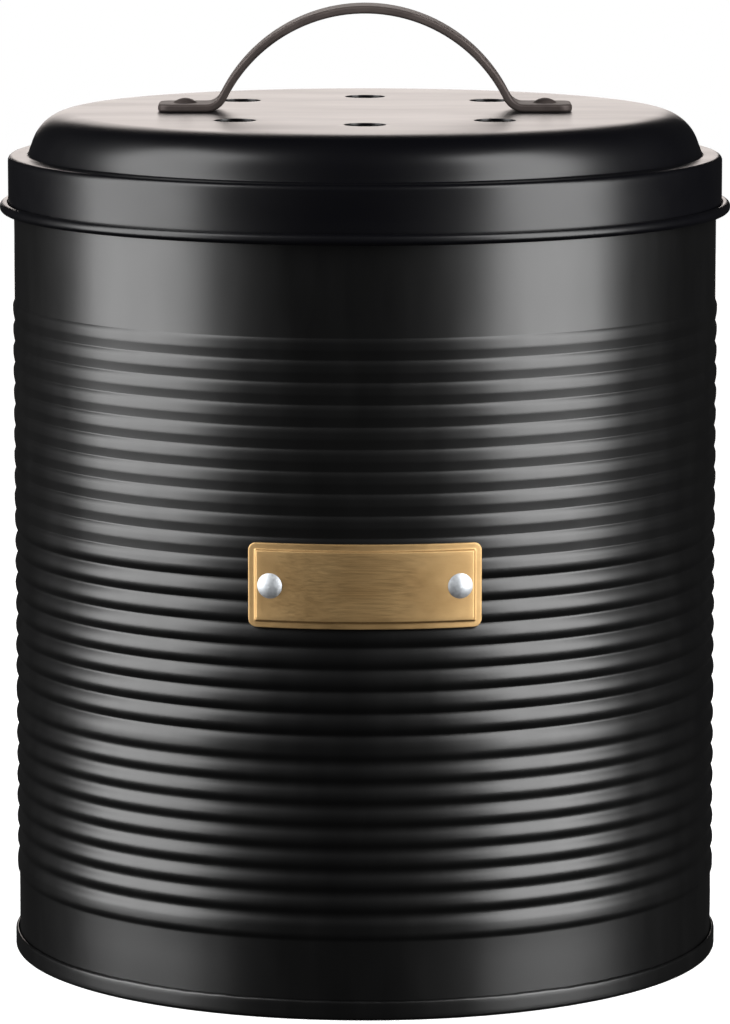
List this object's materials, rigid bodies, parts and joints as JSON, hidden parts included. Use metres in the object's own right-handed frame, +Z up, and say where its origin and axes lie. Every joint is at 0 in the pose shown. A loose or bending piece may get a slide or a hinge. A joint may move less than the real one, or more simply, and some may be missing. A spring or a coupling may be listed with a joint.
{
  "type": "compost bin",
  "caption": "Round ribbed steel kitchen compost bin with a vented slip-on lid, strap handle, bare brass plate, lift-out liner bucket and a twist-off filter under the lid.",
  "frame": {"origin": "centre of the foot ring, on the surface that the bin stands on", "axes": "+Z up; the label plate faces -Y; the strap handle runs along X"},
  "size_m": [0.1708, 0.1708, 0.2227],
  "materials": {
    "tin_black": "satin black powder coat",
    "lid_black": "smooth satin black powder coat",
    "handle_bronze": "dark bronze satin",
    "label_brass": "brushed brass",
    "rivet_aluminium": "plain aluminium",
    "bucket_plastic": "moulded grey plastic",
    "bail_wire": "drawn steel wire",
    "filter_plastic": "moulded black plastic",
    "filter_felt": "charcoal felt"
  },
  "bodies": {
    "bin": {"body_wall": "tin_black", "base_pan": "tin_black", "label_plate": "label_brass", "label_rivets": "rivet_aluminium"},
    "bucket": {"inner_bucket": "bucket_plastic"},
    "bail": {"bucket_bail": "bail_wire"},
    "lid": {"lid_shell": "lid_black", "handle_strap": "handle_bronze", "handle_rivets": "handle_bronze", "filter_holder": "filter_plastic", "filter_pad": "filter_felt"},
    "cover": {"filter_cover": "filter_plastic"}
  },
  "joints": [
    {"name": "bucket_lift", "type": "slide", "parent": "bin", "child": "bucket", "axis": [0, 0, 1], "range_m": [0, 0.2]},
    {"name": "lid_lift", "type": "slide", "parent": "bucket", "child": "lid", "axis": [0, 0, 1], "range_m": [0, 0.25]},
    {"name": "bail_swing", "type": "hinge", "parent": "bucket", "child": "bail", "pos_m": [0, 0, 0.1891], "axis": [-1, 0, 0], "range_deg": [0, 180]},
    {"name": "cover_twist", "type": "hinge", "parent": "lid", "child": "cover", "pos_m": [0, 0, 0.1883], "axis": [0, 0, -1], "range_deg": [0, 30]}
  ],
  "couplings": [
    {"joint": "bail_swing", "follows": "lid_lift", "rad_per_m": 12.566}
  ]
}
